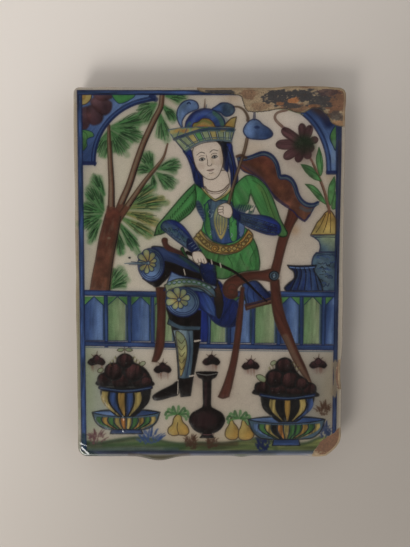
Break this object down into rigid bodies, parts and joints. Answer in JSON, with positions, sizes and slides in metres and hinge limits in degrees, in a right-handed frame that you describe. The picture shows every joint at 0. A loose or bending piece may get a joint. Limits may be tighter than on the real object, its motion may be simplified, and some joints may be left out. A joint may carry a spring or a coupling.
{
  "type": "fritware tile",
  "caption": "Moulded fritware wall tile with a low-relief underglaze-painted court scene, drafted sides, a flat back, a worn corner and a patch of lost glaze",
  "frame": {"origin": "on the flat back, under the middle of the nominal 240 x 331 mm rectangle of the face, so it is also the origin of mount back_face", "axes": "+X runs to the right of the picture, +Y up the picture and +Z out of the glazed face"},
  "size_m": [0.2396, 0.3339, 0.0244],
  "materials": {
    "glazed_fritware": "white stonepaste painted under a clear glossy glaze; bare, buff body on the sides, the back and the worn patches"
  },
  "bodies": {
    "root": {"fritware_tile": "glazed_fritware"}
  },
  "joints": []
}
